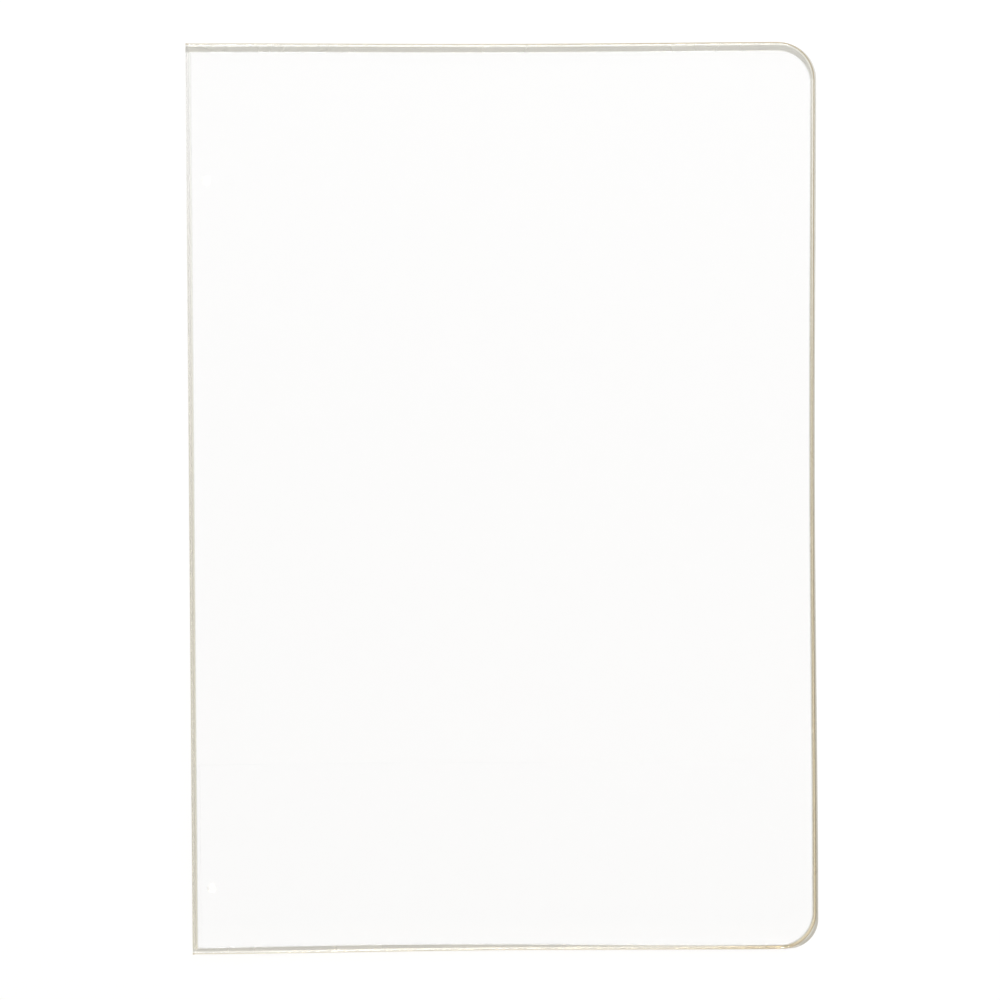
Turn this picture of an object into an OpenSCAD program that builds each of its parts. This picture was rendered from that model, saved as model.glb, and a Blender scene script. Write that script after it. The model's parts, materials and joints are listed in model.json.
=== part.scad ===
// Clear folding document cover for A4 paper, closed and lying on its back leaf.
// Millimetres. X runs from the fold to the fore edge, Y up the page, Z out of the page.
// The origin is under the middle of the closed cover.

/* [Cover] */
// Height of the cover along its fold
cover_height = 320; // [220:1:400]
// Width of the front leaf from the outside of the fold to its fore edge
front_width = 220.6; // [140:0.5:300]
// How far the back leaf reaches past the front leaf at the fore edge
back_overhang = 0.8; // [0:0.1:4]
// Outer corner radius at the fore edge
corner_radius = 13; // [6:0.5:30]
// The same at the foot of the back leaf, which is cut less round
back_foot_radius = 10.5; // [6:0.1:30]

/* [Sheets] */
// Thickness of the outer sheets and of the spine
sheet_thickness = 0.6; // [0.4:0.1:1]
// Thickness of the inner film and of the pocket
film_thickness = 0.3; // [0.2:0.05:0.5]
// Room for paper between a sheet and its film
paper_gap = 0.2; // [0.2:0.1:1]
// Space between the closed leaves
leaf_gap = 0.3; // [0.3:0.1:3]

/* [Edge weld] */
// Width of the weld band along the top edge
weld_top = 3; // [1.5:0.1:5]
// Width of the weld band along the fore edge
weld_side = 1.5; // [1.5:0.1:5]
// Width of the weld band along the bottom edge
weld_bottom = 2.1; // [1.5:0.1:5]
// Depth of the pressed band below the faces of its leaf
weld_recess = 0.15; // [0.05:0.05:0.15]
// Width of the thin cut lip outside the bead
lip_width = 0.35; // [0.2:0.05:0.6]
// Thickness of the cut lip
lip_thickness = 0.3; // [0.2:0.05:0.4]

/* [Fold] */
// Width of the pressed strip beside each crease
hinge_width = 1.2; // [1:0.1:4]
// Depth of that strip below the faces of its sheet
hinge_recess = 0.05; // [0.05:0.05:0.1]
// Running gap between the bead on a crease and its leaf
crease_gap = 0.1; // [0.05:0.05:0.3]

/* [Sleeve and pocket] */
// Width of the open mouth of the sleeve beside the fold
sleeve_mouth = 1; // [0.5:0.5:20]
// Height of the pocket above the bottom edge of the cover
pocket_height = 66.5; // [50:0.5:200]
// Width of the cut corner of the pocket
pocket_cut_width = 13.2; // [4:0.1:40]
// Height of the cut corner of the pocket
pocket_cut_height = 17; // [4:0.5:40]
// Width of the seam that closes the pocket beside the fold
pocket_seam = 1.2; // [0.8:0.1:3]

/* [Holes] */
// Diameter of the two punched holes
hole_diameter = 3.2; // [2:0.1:4]
// Distance of the holes from the outside of the fold
hole_inset = 7.1; // [7:0.1:15]
// Distance of the upper hole from the top edge
upper_hole_drop = 48; // [10:0.5:100]
// Distance of the lower hole from the bottom edge
lower_hole_rise = 23.5; // [10:0.5:40]

/* [Hidden] */
$fn = 96;

// The stack of one leaf, and of the closed cover
leaf_thickness = sheet_thickness + paper_gap + film_thickness;
closed_thickness = 2 * leaf_thickness + leaf_gap;
back_middle = leaf_thickness / 2;
front_middle = closed_thickness - leaf_thickness / 2;

// Places across the cover, from the fold to the fore edge
total_width = front_width + back_overhang;
fold_x = -total_width / 2;
crease_radius = sheet_thickness / 2;
crease_x = fold_x + crease_radius;
leaf_x = crease_x + crease_radius + crease_gap;
sheet_x = leaf_x + hinge_width;
front_edge_x = fold_x + front_width;
back_edge_x = total_width / 2;
pocket_x = sheet_x + pocket_seam;

// Places up the cover
top_y = cover_height / 2;
bottom_y = -cover_height / 2;
band_top_y = top_y - weld_top;
band_bottom_y = bottom_y + weld_bottom;
pocket_top_y = bottom_y + pocket_height;

// The bead of the edge weld is as thick as the two layers that it joins
bead_radius = (sheet_thickness + film_thickness) / 2;
bead_inset = lip_width + bead_radius;
weld_thickness = leaf_thickness - 2 * weld_recess;
hinge_thickness = sheet_thickness - 2 * hinge_recess;

hole_x = fold_x + hole_inset;
hole_ys = [top_y - upper_hole_drop, bottom_y + lower_hole_rise];

// Colours of the preview
sheet_colour = [0.88, 0.9, 0.9, 0.5];
film_colour = [0.8, 0.86, 0.9, 0.5];
weld_colour = [0.7, 0.68, 0.62];

// A leaf seen flat: square at the fold, rounded at the head and the foot of the fore edge
module leaf_shape(left, right, low, high, foot_radius, head_radius) {
    union() {
        translate([left, low])
            square([right - foot_radius - left, high - low - head_radius]);
        translate([left, low + foot_radius])
            square([right - left, high - low - foot_radius - head_radius]);
        translate([left, low + foot_radius])
            square([right - head_radius - left, high - low - foot_radius]);
        translate([right - foot_radius, low + foot_radius])
            circle(foot_radius);
        translate([right - head_radius, high - head_radius])
            circle(head_radius);
    }
}

// The same leaf drawn in by one distance on its three welded sides
module inset_shape(edge_x, foot_radius, inset) {
    leaf_shape(leaf_x, edge_x - inset, bottom_y + inset, top_y - inset,
        foot_radius - inset, corner_radius - inset);
}

// The area inside the weld band, starting at a given distance from the fold
module inner_shape(left, edge_x, foot_radius) {
    leaf_shape(left, edge_x - weld_side, band_bottom_y, band_top_y,
        foot_radius - weld_side, corner_radius - weld_side);
}

// Both punched holes, cut through everything they meet
module punched_holes() {
    for (y = hole_ys)
        translate([hole_x, y, -1])
            cylinder(h = closed_thickness + 2, d = hole_diameter);
}

// A flat layer inside the weld band, with its holes
module layer(left, edge_x, foot_radius, low_z, thickness) {
    difference() {
        translate([0, 0, low_z])
            linear_extrude(thickness)
                inner_shape(left, edge_x, foot_radius);
        punched_holes();
    }
}

// The round bead that the weld press leaves along the outside of a leaf
module weld_bead(edge_x, foot_radius) {
    translate([leaf_x, bottom_y + bead_inset, 0])
        rotate([0, 90, 0])
            cylinder(h = edge_x - foot_radius - leaf_x, r = bead_radius);
    translate([edge_x - foot_radius, bottom_y + foot_radius, 0])
        rotate([0, 0, -90])
            rotate_extrude(angle = 90)
                translate([foot_radius - bead_inset, 0])
                    circle(bead_radius);
    translate([edge_x - bead_inset, bottom_y + foot_radius, 0])
        rotate([-90, 0, 0])
            cylinder(h = cover_height - foot_radius - corner_radius, r = bead_radius);
    translate([edge_x - corner_radius, top_y - corner_radius, 0])
        rotate_extrude(angle = 90)
            translate([corner_radius - bead_inset, 0])
                circle(bead_radius);
    translate([leaf_x, top_y - bead_inset, 0])
        rotate([0, 90, 0])
            cylinder(h = edge_x - corner_radius - leaf_x, r = bead_radius);
}

// Pressed band, bead and cut lip in one seam, centred on the middle of its leaf
module edge_weld(edge_x, foot_radius) {
    union() {
        translate([0, 0, -weld_thickness / 2])
            linear_extrude(weld_thickness)
                difference() {
                    inset_shape(edge_x, foot_radius, bead_inset);
                    inner_shape(leaf_x - 1, edge_x, foot_radius);
                }
        translate([0, 0, -lip_thickness / 2])
            linear_extrude(lip_thickness)
                difference() {
                    inset_shape(edge_x, foot_radius, 0);
                    translate([-1, 0])
                        inset_shape(edge_x + 1, foot_radius, bead_inset + bead_radius / 2);
                }
        weld_bead(edge_x, foot_radius);
    }
}

// The pressed strip beside a crease, between the ends of the edge weld
module hinge_land(middle_z) {
    translate([leaf_x, band_bottom_y, middle_z - hinge_thickness / 2])
        cube([hinge_width, band_top_y - band_bottom_y, hinge_thickness]);
}

module back_sheet() {
    color(sheet_colour)
        layer(sheet_x, back_edge_x, back_foot_radius, 0, sheet_thickness);
}

module back_edge_weld() {
    color(weld_colour)
        translate([0, 0, back_middle])
            edge_weld(back_edge_x, back_foot_radius);
}

module back_hinge_land() {
    color(weld_colour)
        hinge_land(crease_radius);
}

module pocket_film() {
    pocket_edge_x = back_edge_x - weld_side;
    color(film_colour)
        difference() {
            translate([0, 0, leaf_thickness - film_thickness])
                linear_extrude(film_thickness)
                    intersection() {
                        inner_shape(pocket_x, back_edge_x, back_foot_radius);
                        polygon([
                            [pocket_x, band_bottom_y],
                            [pocket_edge_x, band_bottom_y],
                            [pocket_edge_x, pocket_top_y - pocket_cut_height],
                            [pocket_edge_x - pocket_cut_width, pocket_top_y],
                            [pocket_x, pocket_top_y]
                        ]);
                    }
            punched_holes();
        }
}

module pocket_side_weld() {
    color(weld_colour)
        translate([sheet_x, band_bottom_y, sheet_thickness])
            cube([pocket_seam, pocket_top_y - band_bottom_y, leaf_thickness - sheet_thickness]);
}

module spine_strip() {
    color(sheet_colour)
        translate([crease_x, top_y, 0])
            rotate([90, 0, 0])
                linear_extrude(cover_height)
                    union() {
                        translate([-crease_radius, crease_radius])
                            square([sheet_thickness, closed_thickness - sheet_thickness]);
                        for (z = [crease_radius, closed_thickness - crease_radius])
                            translate([0, z])
                                circle(crease_radius);
                    }
}

module front_sheet() {
    color(sheet_colour)
        layer(sheet_x, front_edge_x, corner_radius, closed_thickness - sheet_thickness, sheet_thickness);
}

module front_edge_weld() {
    color(weld_colour)
        translate([0, 0, front_middle])
            edge_weld(front_edge_x, corner_radius);
}

module front_hinge_land() {
    color(weld_colour)
        hinge_land(closed_thickness - crease_radius);
}

module front_film() {
    color(film_colour)
        layer(sheet_x + sleeve_mouth, front_edge_x, corner_radius, leaf_thickness + leaf_gap, film_thickness);
}

back_sheet();
back_edge_weld();
back_hinge_land();
pocket_film();
pocket_side_weld();
spine_strip();
front_sheet();
front_edge_weld();
front_hinge_land();
front_film();
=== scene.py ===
import bpy
import bmesh
import json
import math
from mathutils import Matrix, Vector


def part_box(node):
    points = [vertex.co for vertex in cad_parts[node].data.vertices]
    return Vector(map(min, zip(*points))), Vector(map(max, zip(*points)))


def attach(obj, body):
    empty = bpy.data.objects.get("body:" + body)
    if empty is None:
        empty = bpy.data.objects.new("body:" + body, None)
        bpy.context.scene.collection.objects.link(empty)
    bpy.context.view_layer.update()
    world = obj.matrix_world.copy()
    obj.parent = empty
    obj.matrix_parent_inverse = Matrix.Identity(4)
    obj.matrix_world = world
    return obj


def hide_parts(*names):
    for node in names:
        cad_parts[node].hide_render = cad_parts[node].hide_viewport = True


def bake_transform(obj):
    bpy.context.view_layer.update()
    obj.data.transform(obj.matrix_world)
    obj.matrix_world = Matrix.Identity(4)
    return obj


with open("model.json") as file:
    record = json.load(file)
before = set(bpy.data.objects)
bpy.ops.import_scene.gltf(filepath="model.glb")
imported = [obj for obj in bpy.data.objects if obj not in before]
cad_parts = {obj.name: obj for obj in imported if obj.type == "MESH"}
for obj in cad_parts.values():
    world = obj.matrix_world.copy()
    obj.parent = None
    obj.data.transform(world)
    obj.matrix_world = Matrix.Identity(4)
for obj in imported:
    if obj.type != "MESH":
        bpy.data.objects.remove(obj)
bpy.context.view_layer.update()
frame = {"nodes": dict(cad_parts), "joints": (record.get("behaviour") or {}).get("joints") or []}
mm = 0.001
near = 0.01 * mm  # places this close count as the same
doubled = 0.0005 * mm  # points this close are merged
longRun = 100 * mm  # only the straight runs are longer
print("frame loaded:", len(frame["nodes"]), "CAD nodes")


def clearSelection():
    if bpy.context.mode != "OBJECT":
        bpy.ops.object.mode_set(mode="OBJECT")
    bpy.ops.object.select_all(action="DESELECT")


def makeActive(piece):
    clearSelection()
    piece.select_set(True)
    bpy.context.view_layer.objects.active = piece


def settle(name):  # name the new primitive and put its place into its mesh
    piece = bpy.context.object
    piece.name = name
    piece.data.name = name
    bpy.ops.object.transform_apply(location=True, rotation=True, scale=True)
    return piece


def pick(piece, kind, test):  # select by place, in edit mode
    bpy.ops.mesh.select_mode(type=kind)
    bpy.ops.mesh.select_all(action="DESELECT")
    work = bmesh.from_edit_mesh(piece.data)
    for item in {"VERT": work.verts, "EDGE": work.edges, "FACE": work.faces}[kind]:
        corners = [item] if kind == "VERT" else list(item.verts)
        middle = sum((corner.co for corner in corners), Vector()) / len(corners)
        if test(middle, item):
            item.select_set(True)
    work.select_flush_mode()
    bmesh.update_edit_mesh(piece.data)


def extrude(x, y, z):  # pull the selection out along one line
    bpy.ops.mesh.extrude_region_move(TRANSFORM_OT_translate={"value": (x, y, z)})


def finishWith(piece, kind, **settings):  # add one modifier and apply it
    makeActive(piece)
    bpy.ops.object.modifier_add(type=kind)
    modifier = piece.modifiers[-1]
    for key, value in settings.items():
        setattr(modifier, key, value)
    bpy.ops.object.modifier_apply(modifier=modifier.name)


def easeEdges(piece, width, steps, degrees):
    finishWith(piece, "BEVEL", width=width * mm, segments=steps,
               limit_method="ANGLE", angle_limit=math.radians(degrees))


def closeMesh(piece):  # weld doubles and turn all faces outwards
    makeActive(piece)
    bpy.ops.object.mode_set(mode="EDIT")
    bpy.ops.mesh.select_all(action="SELECT")
    bpy.ops.mesh.remove_doubles(threshold=doubled)
    bpy.ops.mesh.normals_make_consistent(inside=False)
    bpy.ops.object.mode_set(mode="OBJECT")


def smooth(piece, degrees):
    makeActive(piece)
    bpy.ops.object.shade_smooth_by_angle(angle=math.radians(degrees))


def dress(piece, body, node):
    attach(piece, body)
    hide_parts(node)
    piece.visible_diffuse = False  # the ground under clear vinyl stays bright


def hexToLinear(code):
    shares = [int(code[i:i + 2], 16) / 255 for i in (0, 2, 4)]
    return tuple(s / 12.92 if s <= 0.04045 else ((s + 0.055) / 1.055) ** 2.4 for s in shares) + (1.0,)


def addNode(tree, kind, settings=None, inputs=None):
    node = tree.nodes.new(kind)
    for key, value in (settings or {}).items():
        setattr(node, key, value)
    for key, value in (inputs or {}).items():
        if isinstance(value, bpy.types.NodeSocket):
            tree.links.new(value, node.inputs[key])
        else:
            node.inputs[key].default_value = value
    return node


def newMaterial(name):
    material = bpy.data.materials.new(name)
    material.use_nodes = True
    material.node_tree.nodes.clear()
    return material, material.node_tree


def showWith(tree, surface, shade):  # what is seen, and the share of lamp light that passes each face
    thrown = addNode(tree, "ShaderNodeBsdfTransparent", None, {"Color": hexToLinear(shade)})
    lightPath = addNode(tree, "ShaderNodeLightPath")
    mix = addNode(tree, "ShaderNodeMixShader", None, {
        0: lightPath.outputs["Is Shadow Ray"], 1: surface.outputs[0], 2: thrown.outputs[0]})
    addNode(tree, "ShaderNodeOutputMaterial", None, {"Surface": mix.outputs[0]})


# Camera straight above the cover, a little tilted, as the photograph was taken
camera = {"lens": 100.0, "sensor": 36.0, "clipStart": 0.01, "bounces": 24,
          "place": (-0.0212, 0.0242, 0.9792), "turn": (-1.433, -1.167, -0.300)}
clearSelection()
bpy.ops.object.camera_add(location=camera["place"], rotation=[math.radians(a) for a in camera["turn"]])
viewer = bpy.context.object
viewer.data.lens = camera["lens"]
viewer.data.sensor_width = camera["sensor"]
viewer.data.clip_start = camera["clipStart"]
scene = bpy.context.scene
scene.camera = viewer
scene.view_settings.view_transform = "Standard"
scene.cycles.max_bounces = camera["bounces"]  # light passes four clear layers, two faces each
scene.cycles.transmission_bounces = camera["bounces"]
print("camera placed")


vinylIor = 1.53
# Clear sheet vinyl: soft PVC, calendered and press polished. Glass clear, with long
# shallow waves in its gloss and a few smudges
sheetLook = {"tint": "FDFDFD", "shade": "FCFCFC", "glossLow": 0.0, "glossHigh": 0.08,
             "waveMm": 55.0, "waveDeep": 0.03, "smudgeMm": 18.0, "smudgeFrom": 0.58, "smudgeTo": 0.8}
# Clear film vinyl: the same, thinner and slacker, so its waves are shorter
filmLook = {"tint": "FFFFFF", "shade": "FEFEFE", "glossLow": 0.0, "glossHigh": 0.08,
            "waveMm": 30.0, "waveDeep": 0.025, "smudgeMm": 12.0, "smudgeFrom": 0.58, "smudgeTo": 0.8}


def clearVinyl(name, look):
    material, tree = newMaterial(name)
    place = addNode(tree, "ShaderNodeTexCoord").outputs["Object"]
    wave = addNode(tree, "ShaderNodeTexNoise", None, {
        "Vector": place, "Scale": 1000 / look["waveMm"], "Detail": 0.0})
    smudge = addNode(tree, "ShaderNodeTexNoise", None, {
        "Vector": place, "Scale": 1000 / look["smudgeMm"], "Detail": 2.0})
    gloss = addNode(tree, "ShaderNodeMapRange", None, {
        "Value": smudge.outputs["Fac"], "From Min": look["smudgeFrom"], "From Max": look["smudgeTo"],
        "To Min": look["glossLow"], "To Max": look["glossHigh"]})
    relief = addNode(tree, "ShaderNodeBump", None, {
        "Height": wave.outputs["Fac"], "Strength": 1.0, "Distance": look["waveDeep"] * mm})
    shader = addNode(tree, "ShaderNodeBsdfPrincipled", None, {
        "Base Color": hexToLinear(look["tint"]), "Roughness": gloss.outputs["Result"],
        "IOR": vinylIor, "Transmission Weight": 1.0, "Normal": relief.outputs["Normal"]})
    showWith(tree, shader, look["shade"])
    return material


# Hazed vinyl in general: patches in its tone and gloss, and a painted light and shade gradient across the cover,
# from its own tone to a painted tone
haze = {"shade": "FAFAF8", "patchLow": 0.3, "patchHigh": 0.7, "glossSpread": 0.2}
# Pressed weld vinyl: both layers melted together between hot bars. Hazy grey and finely
# pitted, darker and warmer along the fore edge by painted shade and warm painted reflection
landLook = {"ownTone": "DFDEDA", "paintedLightTone": "D3D0C6", "mottle": 0.2, "gloss": 0.25, "patchMm": 25.0,
            "pitMm": 0.8, "pitDeep": 0.004,
            "paintedLightWay": (1.0, -0.08, 0.0), "paintedLightFrom": 0.096, "paintedLightTo": 0.1005}
# Weld bead vinyl: the melt squeezed out beside the bars and left to set. Smooth, round
# and glassy, a little uneven along its length, so it sparkles. Its gold along the fore edge, most at the foot, is
# painted warm reflection and shade, and its small white and gold patches are painted sparkle
beadLook = {"ownTone": "FEFEFC", "paintedLightTone": "E1D5BA", "mottle": 0.2, "gloss": 0.07, "patchMm": 5.0,
            "pitMm": 2.5, "pitDeep": 0.03,
            "paintedLightWay": (1.0, -0.15, 0.0), "paintedLightFrom": 0.07, "paintedLightTo": 0.125}
# Cut lip vinyl: the thin flash left where the waste was torn off, with a yellowed edge, deepening to gold towards
# the fore edge by painted shade and warm painted reflection
lipLook = {"ownTone": "E5DECE", "paintedLightTone": "D2C5AA", "mottle": 0.3, "gloss": 0.2, "patchMm": 6.0,
           "pitMm": 0.8, "pitDeep": 0.01,
           "paintedLightWay": (1.0, 0.0, 0.0), "paintedLightFrom": -0.05, "paintedLightTo": 0.109}
# Back weld vinyl: the seam of the back leaf, dull and grey, with painted shade darkening it towards the lower right
# corner
backWeldLook = {"ownTone": "E6E5E1", "paintedLightTone": "BEBBB1", "mottle": 0.2, "gloss": 0.18, "patchMm": 12.0,
              "pitMm": 0.8, "pitDeep": 0.006,
              "paintedLightWay": (1.0, -0.5, 0.0), "paintedLightFrom": -0.05, "paintedLightTo": 0.19}
# Creased vinyl: the sheet bent hard along the spine, with painted shade darkening it from the head towards the foot
foldLook = {"ownTone": "F9F9F8", "paintedLightTone": "E8E6DE", "mottle": 0.1, "gloss": 0.22, "patchMm": 60.0,
            "pitMm": 1.2, "pitDeep": 0.002,
            "paintedLightWay": (0.0, 1.0, 0.0), "paintedLightFrom": 0.155, "paintedLightTo": -0.05}


def hazyVinyl(name, look):
    material, tree = newMaterial(name)
    place = addNode(tree, "ShaderNodeTexCoord").outputs["Object"]
    patch = addNode(tree, "ShaderNodeTexNoise", None, {
        "Vector": place, "Scale": 1000 / look["patchMm"], "Detail": 2.0})
    along = addNode(tree, "ShaderNodeVectorMath", {"operation": "DOT_PRODUCT"}, {
        0: place, 1: look["paintedLightWay"]})
    # painted light and shade: the tone turns from its own to the painted one along a set direction across the cover
    paintedLight = addNode(tree, "ShaderNodeMapRange", {"interpolation_type": "SMOOTHSTEP"}, {
        "Value": along.outputs["Value"], "From Min": look["paintedLightFrom"], "From Max": look["paintedLightTo"],
        "To Min": -0.5 * look["mottle"], "To Max": 1 - 0.5 * look["mottle"]})
    mottled = addNode(tree, "ShaderNodeMath", {"operation": "MULTIPLY_ADD", "use_clamp": True}, {
        0: patch.outputs["Fac"], 1: look["mottle"], 2: paintedLight.outputs["Result"]})
    tone = addNode(tree, "ShaderNodeMix", {"data_type": "RGBA"}, {
        0: mottled.outputs[0], 6: hexToLinear(look["ownTone"]), 7: hexToLinear(look["paintedLightTone"])})
    gloss = addNode(tree, "ShaderNodeMapRange", None, {
        "Value": patch.outputs["Fac"], "From Min": haze["patchLow"], "From Max": haze["patchHigh"],
        "To Min": look["gloss"] * (1 - haze["glossSpread"]),
        "To Max": look["gloss"] * (1 + haze["glossSpread"])})
    pit = addNode(tree, "ShaderNodeTexNoise", None, {
        "Vector": place, "Scale": 1000 / look["pitMm"], "Detail": 1.0})
    relief = addNode(tree, "ShaderNodeBump", None, {
        "Height": pit.outputs["Fac"], "Strength": 1.0, "Distance": look["pitDeep"] * mm})
    shader = addNode(tree, "ShaderNodeBsdfPrincipled", None, {
        "Base Color": tone.outputs[2], "Roughness": gloss.outputs["Result"],
        "IOR": vinylIor, "Transmission Weight": 1.0, "Normal": relief.outputs["Normal"]})
    showWith(tree, shader, haze["shade"])
    return material


# Punched vinyl: the walls of the holes, frosted where the punch tore through
cutLook = {"tone": "ECECE9", "shade": "FCFCFC", "through": 0.5, "grainMm": 0.15, "grainDeep": 0.01}


def frostedVinyl(name, look):
    material, tree = newMaterial(name)
    place = addNode(tree, "ShaderNodeTexCoord").outputs["Object"]
    grain = addNode(tree, "ShaderNodeTexNoise", None, {
        "Vector": place, "Scale": 1000 / look["grainMm"], "Detail": 1.0})
    relief = addNode(tree, "ShaderNodeBump", None, {
        "Height": grain.outputs["Fac"], "Strength": 1.0, "Distance": look["grainDeep"] * mm})
    skin = {"Color": hexToLinear(look["tone"]), "Normal": relief.outputs["Normal"]}
    lit = addNode(tree, "ShaderNodeBsdfDiffuse", None, skin)
    through = addNode(tree, "ShaderNodeBsdfTranslucent", None, skin)
    frost = addNode(tree, "ShaderNodeMixShader", None, {
        0: look["through"], 1: lit.outputs[0], 2: through.outputs[0]})
    showWith(tree, frost, look["shade"])
    return material


sheetVinyl = clearVinyl("clearSheetVinyl", sheetLook)
filmVinyl = clearVinyl("clearFilmVinyl", filmLook)
landVinyl = hazyVinyl("pressedWeldVinyl", landLook)
beadVinyl = hazyVinyl("weldBeadVinyl", beadLook)
lipVinyl = hazyVinyl("cutLipVinyl", lipLook)
backWeldVinyl = hazyVinyl("backWeldGreyVinyl", backWeldLook)
foldVinyl = hazyVinyl("creasedVinyl", foldLook)
cutVinyl = frostedVinyl("punchedVinyl", cutLook)
print("materials made")


# Drawn-in edges: soft vinyl pulls in a little between the corners as its welds cool, and the
# pressed land along the foot is widest on the fold side of the middle
drawIn = {"fore": {"at": (110.0, 8.0, 0.0), "way": (-1, 0, 0), "reach": 155.0, "front": 0.68, "back": 0.82},
          "head": {"at": (0.0, 160.0, 0.0), "way": (0, -1, 0), "reach": 105.0, "front": 0.42, "back": 0.42},
          "foot": {"at": (0.0, -160.0, 0.0), "way": (0, 1, 0), "reach": 105.0, "front": 0.5, "back": 0.5},
          "land": {"at": (-55.0, -160.0, 0.0), "way": (0, 1, 0), "reach": 130.0, "front": 1.0, "back": 1.0}}


def drawEdgesIn(piece, leaf, landGroup=""):
    for edge, pull in drawIn.items():
        start = Vector(pull["at"])
        markers = []
        for place in (start, start + Vector(pull["way"]) * pull[leaf]):
            clearSelection()
            bpy.ops.object.empty_add(location=place * mm)
            markers.append(bpy.context.object)
        finishWith(piece, "WARP", object_from=markers[0], object_to=markers[1],
                   falloff_type="SMOOTH", falloff_radius=pull["reach"] * mm,
                   vertex_group=landGroup if edge == "land" else "")
        for marker in markers:
            bpy.data.objects.remove(marker)


# Punched holes through every layer, near the fold, with frosted walls
holes = {"x": -103.6, "ys": (112.0, -136.5), "radius": 1.6, "sides": 64, "depth": 10.0}


def punchHoles(piece, ys):
    for y in ys:
        clearSelection()
        bpy.ops.mesh.primitive_cylinder_add(
            vertices=holes["sides"], radius=holes["radius"] * mm, depth=holes["depth"] * mm,
            location=(holes["x"] * mm, y * mm, 0))
        punch = settle("punch")
        punch.data.materials.append(cutVinyl)
        finishWith(piece, "BOOLEAN", object=punch, operation="DIFFERENCE", solver="EXACT",
                   material_mode="TRANSFER")
        bpy.data.objects.remove(punch)


# Clear plates: cut flat, rounded at the fore edge, eased along every edge
plate = {"headRadius": 11.5, "frontFoot": 11.5, "backFoot": 9.0, "cornerSteps": 20, "gridMm": 12.0,
         "footDrop": 0.6,  # down to the narrow end of the seam along the foot
         "ease": 0.05, "easeSteps": 2, "easeAngle": 40,
         "smoothAngle": 20}  # the flats stay flat, only the round cuts are smooth


def clearPlate(name, node, footRadius, headRadius):
    low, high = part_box(node)
    low.y -= plate["footDrop"] * mm
    clearSelection()
    bpy.ops.mesh.primitive_plane_add(size=1, location=(low + high) / 2)
    bpy.context.object.scale = (high.x - low.x, high.y - low.y, 1)
    piece = settle(name)
    bpy.ops.object.mode_set(mode="EDIT")
    for radius, edge in ((footRadius, low.y), (headRadius, high.y)):
        if radius:
            pick(piece, "VERT", lambda at, item: at.x > high.x - near and abs(at.y - edge) < near)
            bpy.ops.mesh.bevel(offset=radius * mm, segments=plate["cornerSteps"], profile=0.5,
                               affect="VERTICES")
    for along, across in ((0, (1, 0, 0)), (1, (0, 1, 0))):  # a grid, so that the edges can draw in
        cuts = int((high[along] - low[along]) / (plate["gridMm"] * mm))
        for cut in range(1, cuts):
            bpy.ops.mesh.select_all(action="SELECT")
            bpy.ops.mesh.bisect(plane_co=low + (high - low) * cut / cuts, plane_no=across)
    return piece, low, high


def thicken(piece, leaf, vinyl, thickness, holeYs):
    piece.data.materials.append(vinyl)
    drawEdgesIn(piece, leaf)
    finishWith(piece, "SOLIDIFY", thickness=thickness, offset=0)
    punchHoles(piece, holeYs)
    closeMesh(piece)
    easeEdges(piece, plate["ease"], plate["easeSteps"], plate["easeAngle"])
    smooth(piece, plate["smoothAngle"])


for name, node, leaf, footRadius, vinyl, slot in (
        ("frontSheet", "front_sheet", "front", plate["frontFoot"], sheetVinyl, "clear_sheet"),
        ("backSheet", "back_sheet", "back", plate["backFoot"], sheetVinyl, "clear_sheet"),
        ("frontFilm", "front_film", "front", plate["frontFoot"], filmVinyl, "clear_film")):
    sheet, low, high = clearPlate(name, node, footRadius, plate["headRadius"])
    thicken(sheet, leaf, vinyl, high.z - low.z, holes["ys"])
    dress(sheet, leaf + "_leaf", node)
print("sheets and film cut")


# Pocket: low film with its upper fore corner cut off on the slant
pocket = {"cutWidth": 13.2, "cutHeight": 17.0}
pocketFilm, low, high = clearPlate("pocketFilm", "pocket_film", plate["backFoot"], 0)
bpy.ops.mesh.select_all(action="SELECT")
bpy.ops.mesh.bisect(plane_co=(high.x, high.y - pocket["cutHeight"] * mm, low.z),
                    plane_no=(pocket["cutHeight"], pocket["cutWidth"], 0), clear_outer=True)
thicken(pocketFilm, "back", filmVinyl, high.z - low.z, holes["ys"][1:])
dress(pocketFilm, "back_leaf", "pocket_film")
print("pocket cut")


# Edge seam: cut lip, round bead and pressed land, run round three sides of a leaf
seam = {"start": -109.72, "headRadius": 13.0, "frontFoot": 13.0, "backFoot": 10.5, "cornerSteps": 18,
        "beadRadius": 0.45, "beadInset": 0.8, "beadPoints": 36,
        "lipAngle": 22, "lipPull": 0.3, "landAngle": 62, "landPull": 0.6, "landTop": 3.0, "landSide": 1.5,
        "ringEvery": 2.0, "waver": 0.03, "waverMm": 6.0,
        "smoothAngle": 22}  # the bead is round, the land beside it flat


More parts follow.
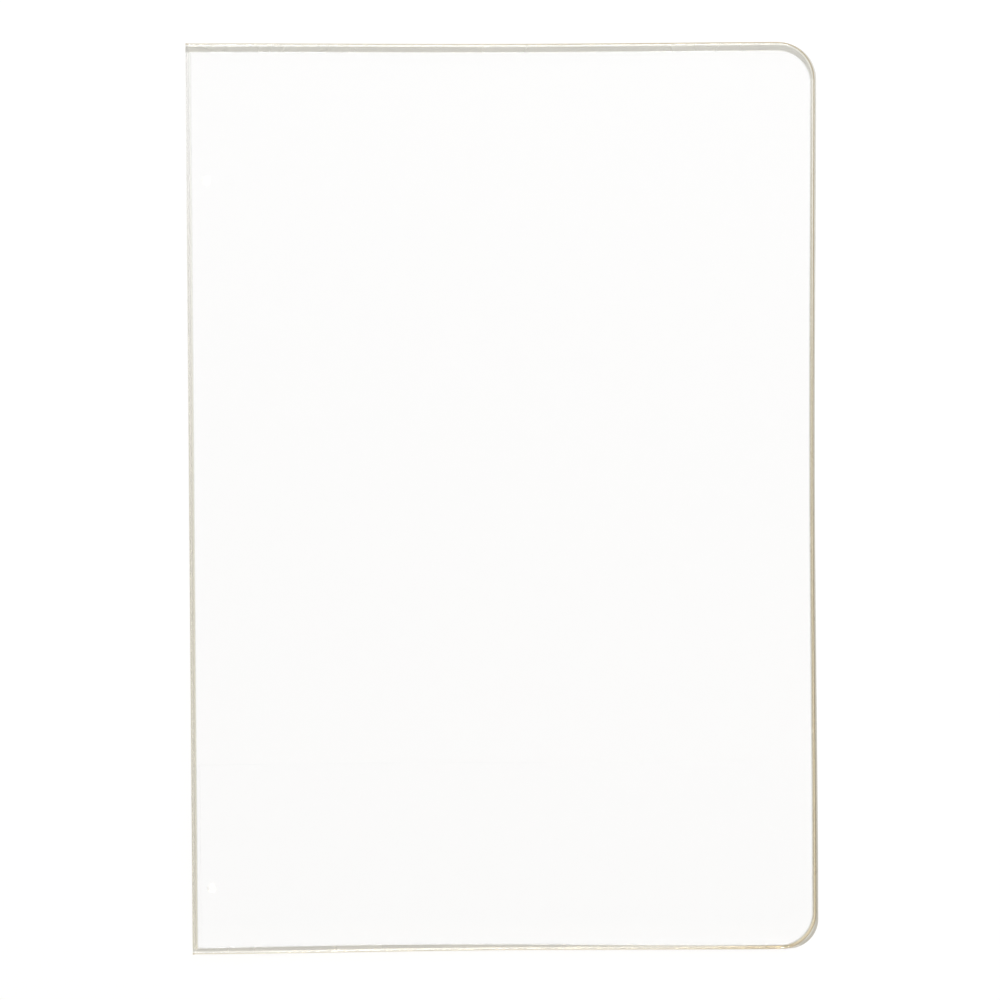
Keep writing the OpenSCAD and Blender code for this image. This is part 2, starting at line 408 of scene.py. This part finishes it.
def edgeSeam(name, node, leaf, footRadius, vinyls):
    low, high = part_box(node)
    midZ = (low.z + high.z) / 2
    foot, head = footRadius * mm, seam["headRadius"] * mm
    inset, landIn = seam["beadInset"] * mm, seam["landSide"] * mm
    beadY = low.y + inset
    startX = seam["start"] * mm
    reach = seam["beadRadius"] * mm
    lipReach = reach * math.cos(math.radians(seam["lipAngle"]))
    landReach = reach * math.cos(math.radians(seam["landAngle"]))
    runs = (high.x - foot - startX, high.y - low.y - foot - head, high.x - head - startX)

    def depth(at):  # how far a point lies in from the outline of the leaf
        radius, down = (head, at.y - high.y + head) if at.y > 0 else (foot, low.y + foot - at.y)
        over = at.x - high.x + radius
        if over > 0 and down > 0:
            return radius - math.hypot(over, down)
        return radius - max(over, down)

    def isInner(at):
        return abs(depth(at) - landIn) < near

    def turnCorner(x, y):
        bpy.ops.mesh.spin(steps=seam["cornerSteps"], angle=-math.pi / 2, center=(x, y, midZ), axis=(0, 0, 1))

    clearSelection()
    bpy.ops.mesh.primitive_circle_add(vertices=seam["beadPoints"], radius=reach, fill_type="NGON",
                                      location=(startX, beadY, midZ), rotation=(0, math.pi / 2, 0))
    piece = settle(name)
    for vinyl in vinyls:
        piece.data.materials.append(vinyl)
    bpy.ops.object.mode_set(mode="EDIT")
    pick(piece, "EDGE", lambda at, item: at.y < beadY - lipReach)  # lip, out to the cut edge
    extrude(0, -seam["lipPull"] * mm, 0)
    bpy.ops.transform.resize(value=(1, 0, 1), center_override=(startX, low.y, midZ))
    pick(piece, "EDGE", lambda at, item: at.y > beadY + landReach)  # land, in to the clear sheet
    extrude(0, seam["landPull"] * mm, 0)
    bpy.ops.transform.resize(value=(1, 0, 1), center_override=(startX, low.y + landIn, midZ))
    bpy.ops.mesh.select_mode(type="FACE")
    bpy.ops.mesh.select_all(action="SELECT")
    extrude(runs[0], 0, 0)  # along the foot
    turnCorner(high.x - foot, low.y + foot)
    extrude(0, runs[1], 0)  # up the fore edge
    turnCorner(high.x - head, high.y - head)
    extrude(-runs[2], 0, 0)  # back along the head
    beadOut, beadIn = inset - lipReach, inset + landReach
    for slotIndex, least, most in ((0, beadIn, math.inf), (1, beadOut, beadIn), (2, -math.inf, beadOut)):
        pick(piece, "FACE", lambda at, item: least < depth(at) <= most)
        piece.active_material_index = slotIndex
        bpy.ops.object.material_slot_assign()
    pick(piece, "VERT", lambda at, item: isInner(at) and at.y > high.y - head - near)  # wider along the head
    bpy.ops.transform.translate(value=(0, landIn - seam["landTop"] * mm, 0))
    for along in (0, 1):  # rings along the straight runs
        pick(piece, "EDGE", lambda at, item: abs(item.verts[0].co[along] - item.verts[1].co[along]) > longRun)
        bpy.ops.mesh.subdivide(number_cuts=int(runs[along] / (seam["ringEvery"] * mm)))
    closeMesh(piece)
    bpy.ops.object.mode_set(mode="EDIT")
    pick(piece, "VERT", lambda at, item: isInner(at) and at.y < low.y + foot)  # land along the foot
    bpy.ops.object.vertex_group_add()
    bpy.ops.object.vertex_group_assign()
    landGroup = piece.vertex_groups.active.name
    bpy.ops.object.mode_set(mode="OBJECT")
    clouds = bpy.data.textures.new(name + "Waver", "CLOUDS")
    clouds.noise_scale = seam["waverMm"] * mm
    finishWith(piece, "DISPLACE", texture=clouds, texture_coords="LOCAL",
               strength=seam["waver"] * mm, mid_level=0.5)
    drawEdgesIn(piece, leaf, landGroup)
    smooth(piece, seam["smoothAngle"])
    dress(piece, leaf + "_leaf", node)


edgeSeam("frontEdgeSeam", "front_edge_weld", "front", seam["frontFoot"], (landVinyl, beadVinyl, lipVinyl))
edgeSeam("backEdgeSeam", "back_edge_weld", "back", seam["backFoot"], (landVinyl, backWeldVinyl, backWeldVinyl))
print("edge seams run")


# Pressed strips in general: a bar with eased edges and a shallow channel along it
pressing = {"easeSteps": 3, "easeAngle": 50, "smoothAngle": 12, "upright": 0.9}


def pressedStrip(name, low, high, look, bothFaces, vinyl):
    clearSelection()
    bpy.ops.mesh.primitive_cube_add(size=1, location=(low + high) / 2)
    bpy.context.object.scale = high - low
    piece = settle(name)
    piece.data.materials.append(vinyl)
    bpy.ops.object.mode_set(mode="EDIT")
    pick(piece, "FACE", lambda at, item: item.normal.z > pressing["upright"]
         or bothFaces and item.normal.z < -pressing["upright"])
    bpy.ops.mesh.inset(thickness=look["channelIn"] * mm, use_individual=True)
    bpy.ops.transform.resize(value=(1, 1, 1 - 2 * look["channelDeep"] * mm / (high.z - low.z)),
                             center_override=(low + high) / 2)
    easeEdges(piece, look["ease"], pressing["easeSteps"], pressing["easeAngle"])
    smooth(piece, pressing["smoothAngle"])
    return piece


# Hinge lands: the strip of each sheet beside its crease, pressed from both faces
hingeLand = {"clearance": 0.01, "ease": 0.04, "channelIn": 0.16, "channelDeep": 0.05}
for name, node, body in (("frontHingeLand", "front_hinge_land", "front_leaf"),
                         ("backHingeLand", "back_hinge_land", "back_leaf")):
    low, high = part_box(node)
    gap = Vector((1, 1, 0)) * hingeLand["clearance"] * mm
    low.x = seam["start"] * mm - gap.x
    land = pressedStrip(name, low + gap, high - gap, hingeLand, True, foldVinyl)
    dress(land, body, node)
print("hinge lands pressed")


# Pocket seam: narrow weld that closes the pocket beside the fold
pocketSeam = {"clearance": 0.01, "ease": 0.03, "channelIn": 0.2, "channelDeep": 0.015}
low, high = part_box("pocket_side_weld")
gap = Vector((1, 1, 1)) * pocketSeam["clearance"] * mm
seamStrip = pressedStrip("pocketSeam", low + gap, high - gap, pocketSeam, False, filmVinyl)
dress(seamStrip, "back_leaf", "pocket_side_weld")
print("pocket seam pressed")


# Fold: the outer sheet bent twice round the spine, split half way up the spine into
# two halves
fold = {"thickness": 0.6, "innerRadius": 0.3, "lead": 0.05, "bendSteps": 12, "midGap": 0.01,
        "ringEvery": 4.0, "footBand": 2.1, "smoothAngle": 40,
        "lowerSpan": (-0.25, 0.45), "upperSpan": (-0.45, 0.25)}  # where the bend starts and ends
low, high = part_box("spine_strip")
thick = fold["thickness"] * mm
inner = fold["innerRadius"] * mm
lead = fold["lead"] * mm
bendX = low.x + thick + inner
bendZ = low.z + thick + inner
middleZ = (low.z + high.z) / 2
clearSelection()
bpy.ops.mesh.primitive_plane_add(size=1, location=(bendX + lead / 2, low.y, low.z + thick / 2),
                                 rotation=(math.pi / 2, 0, 0))
bpy.context.object.scale = (lead, thick, 1)
lowerFold = settle("lowerFold")
bpy.ops.object.mode_set(mode="EDIT")
pick(lowerFold, "EDGE", lambda at, item: at.x < bendX + near)
bpy.ops.mesh.spin(steps=fold["bendSteps"], angle=-math.pi / 2, center=(bendX, low.y, bendZ), axis=(0, 1, 0))
extrude(0, 0, middleZ - fold["midGap"] * mm / 2 - bendZ)  # up to half the spine
bpy.ops.mesh.select_mode(type="FACE")
bpy.ops.mesh.select_all(action="SELECT")
extrude(0, high.y - low.y, 0)  # from the foot to the head
pick(lowerFold, "EDGE", lambda at, item: abs(item.verts[0].co.y - item.verts[1].co.y) > longRun)
bpy.ops.mesh.subdivide(number_cuts=int((high.y - low.y) / (fold["ringEvery"] * mm)))
for vinyl in (foldVinyl, landVinyl, beadVinyl, lipVinyl):
    lowerFold.data.materials.append(vinyl)
beadLines = [seam["beadInset"] + way * seam["beadRadius"] * math.cos(math.radians(seam[angle]))
             for way, angle in ((1, "landAngle"), (-1, "lipAngle"))]
for end, inward, band in ((high.y, -1, seam["landTop"]), (low.y, 1, fold["footBand"])):
    for slotIndex, inset in enumerate([band] + beadLines, 1):  # the seams run on across the ends
        line = end + inward * inset * mm
        bpy.ops.mesh.select_all(action="SELECT")
        bpy.ops.mesh.bisect(plane_co=(bendX, line, middleZ), plane_no=(0, 1, 0))
        pick(lowerFold, "FACE", lambda at, item: (at.y - line) * inward < 0)
        lowerFold.active_material_index = slotIndex
        bpy.ops.object.material_slot_assign()
closeMesh(lowerFold)
makeActive(lowerFold)
bpy.ops.object.duplicate()
upperFold = bpy.context.object
upperFold.name = upperFold.data.name = "upperFold"
bpy.ops.object.mode_set(mode="EDIT")
bpy.ops.mesh.select_all(action="SELECT")
bpy.ops.transform.resize(value=(1, 1, -1), center_override=(bendX, 0, middleZ))
closeMesh(upperFold)
for half, bodies, way, span, joint in (
        (lowerFold, ("back_leaf", "spine"), (-1, 0, 1), fold["lowerSpan"], frame["joints"][0]),
        (upperFold, ("spine", "front_leaf"), (1, 0, 1), fold["upperSpan"], frame["joints"][1])):
    smooth(half, fold["smoothAngle"])
    half.visible_diffuse = False
    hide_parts("spine_strip")
    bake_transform(half)
print("fold bent")


white = hexToLinear("FFFFFF")
# Pale floor: white to the eye and in the clear vinyl, with the cover's own faint shadow
ground = {"z": -0.3, "size": 8, "glow": 0.688, "seenTone": 0.28, "plainTone": 0.8}
clearSelection()
bpy.ops.mesh.primitive_plane_add(size=ground["size"], location=(0, 0, ground["z"] * mm))
floor = settle("floor")
floorPaint, tree = newMaterial("paleFloorPaint")
path = addNode(tree, "ShaderNodeLightPath").outputs
direct = addNode(tree, "ShaderNodeMath", {"operation": "MAXIMUM"}, {
    0: path["Is Camera Ray"], 1: path["Is Glossy Ray"]})
seen = addNode(tree, "ShaderNodeMath", {"operation": "MAXIMUM"}, {
    0: direct.outputs[0], 1: path["Is Transmission Ray"]})
glow = addNode(tree, "ShaderNodeEmission", None, {"Color": white, "Strength": ground["glow"]})
shaded = addNode(tree, "ShaderNodeBsdfDiffuse", None, {"Color": (ground["seenTone"],) * 3 + (1,)})
plain = addNode(tree, "ShaderNodeBsdfDiffuse", None, {"Color": (ground["plainTone"],) * 3 + (1,)})
both = addNode(tree, "ShaderNodeAddShader", None, {0: glow.outputs[0], 1: shaded.outputs[0]})
choice = addNode(tree, "ShaderNodeMixShader", None, {
    0: seen.outputs[0], 1: plain.outputs[0], 2: both.outputs[0]})
addNode(tree, "ShaderNodeOutputMaterial", None, {"Surface": choice.outputs[0]})
floorPaint.cycles.emission_sampling = "NONE"
floor.data.materials.append(floorPaint)


# Soft sky, a little darker towards the horizon, and more so where the gloss mirrors it
heaven = {"horizon": 0.5, "zenith": 0.65, "zenithFrom": 0.7, "mirrorLow": 0.3, "mirrorHigh": 1.0, "mirrorFrom": 0.95}
sky = bpy.data.worlds.new("softSky")
scene.world = sky
sky.use_nodes = True
tree = sky.node_tree
tree.nodes.clear()
upward = addNode(tree, "ShaderNodeSeparateXYZ", None, {
    "Vector": addNode(tree, "ShaderNodeTexCoord").outputs["Generated"]}).outputs["Z"]
brightness = addNode(tree, "ShaderNodeMapRange", {"interpolation_type": "SMOOTHSTEP"}, {
    "Value": upward, "From Min": 0.0, "From Max": heaven["zenithFrom"],
    "To Min": heaven["horizon"], "To Max": heaven["zenith"]})
mirrorTone = addNode(tree, "ShaderNodeMapRange", {"interpolation_type": "SMOOTHSTEP"}, {
    "Value": upward, "From Min": 0.0, "From Max": heaven["mirrorFrom"],
    "To Min": heaven["mirrorLow"], "To Max": heaven["mirrorHigh"]})
skyLight, mirrored, backdrop = [
    addNode(tree, "ShaderNodeBackground", None, {"Color": white, "Strength": strength})
    for strength in (brightness.outputs["Result"], mirrorTone.outputs["Result"], 1.0)]
path = addNode(tree, "ShaderNodeLightPath").outputs
inGloss = addNode(tree, "ShaderNodeMixShader", None, {
    0: path["Is Glossy Ray"], 1: skyLight.outputs[0], 2: mirrored.outputs[0]})
seen = addNode(tree, "ShaderNodeMath", {"operation": "MAXIMUM"}, {
    0: path["Is Camera Ray"], 1: path["Is Transmission Ray"]})
choice = addNode(tree, "ShaderNodeMixShader", None, {
    0: seen.outputs[0], 1: inGloss.outputs[0], 2: backdrop.outputs[0]})
addNode(tree, "ShaderNodeOutputWorld", None, {"Surface": choice.outputs[0]})


# Lamps: a broad one over the head, and strips that draw the bright lines along the beads
lamps = {"keyLamp": {"place": (0.15, 1.15, 0.95), "long": 0.8, "wide": 0.8, "power": 15.5, "tone": "FFFFFF"},
         "headStrip": {"place": (-0.22, 1.3, 0.3), "long": 0.14, "wide": 0.35, "power": 4.0, "tone": "FFFFFF"},
         "footStrip": {"place": (0.11, -1.3, 0.18), "long": 0.5, "wide": 0.34, "power": 16.0, "tone": "FFF1D8"},
         "cornerStrip": {"place": (0.445, -1.35, 0.07), "long": 0.4, "wide": 0.13, "power": 16.0, "tone": "FFF1D8"}}
for name, look in lamps.items():
    clearSelection()
    bpy.ops.object.light_add(type="AREA", location=look["place"])
    lamp = bpy.context.object
    lamp.name = name
    lamp.data.shape = "RECTANGLE"
    lamp.data.size, lamp.data.size_y = look["long"], look["wide"]
    lamp.data.energy = look["power"]
    lamp.data.color = hexToLinear(look["tone"])[:3]
    lamp.rotation_euler = (-Vector(look["place"])).to_track_quat("-Z", "Y").to_euler()
print("studio lit")
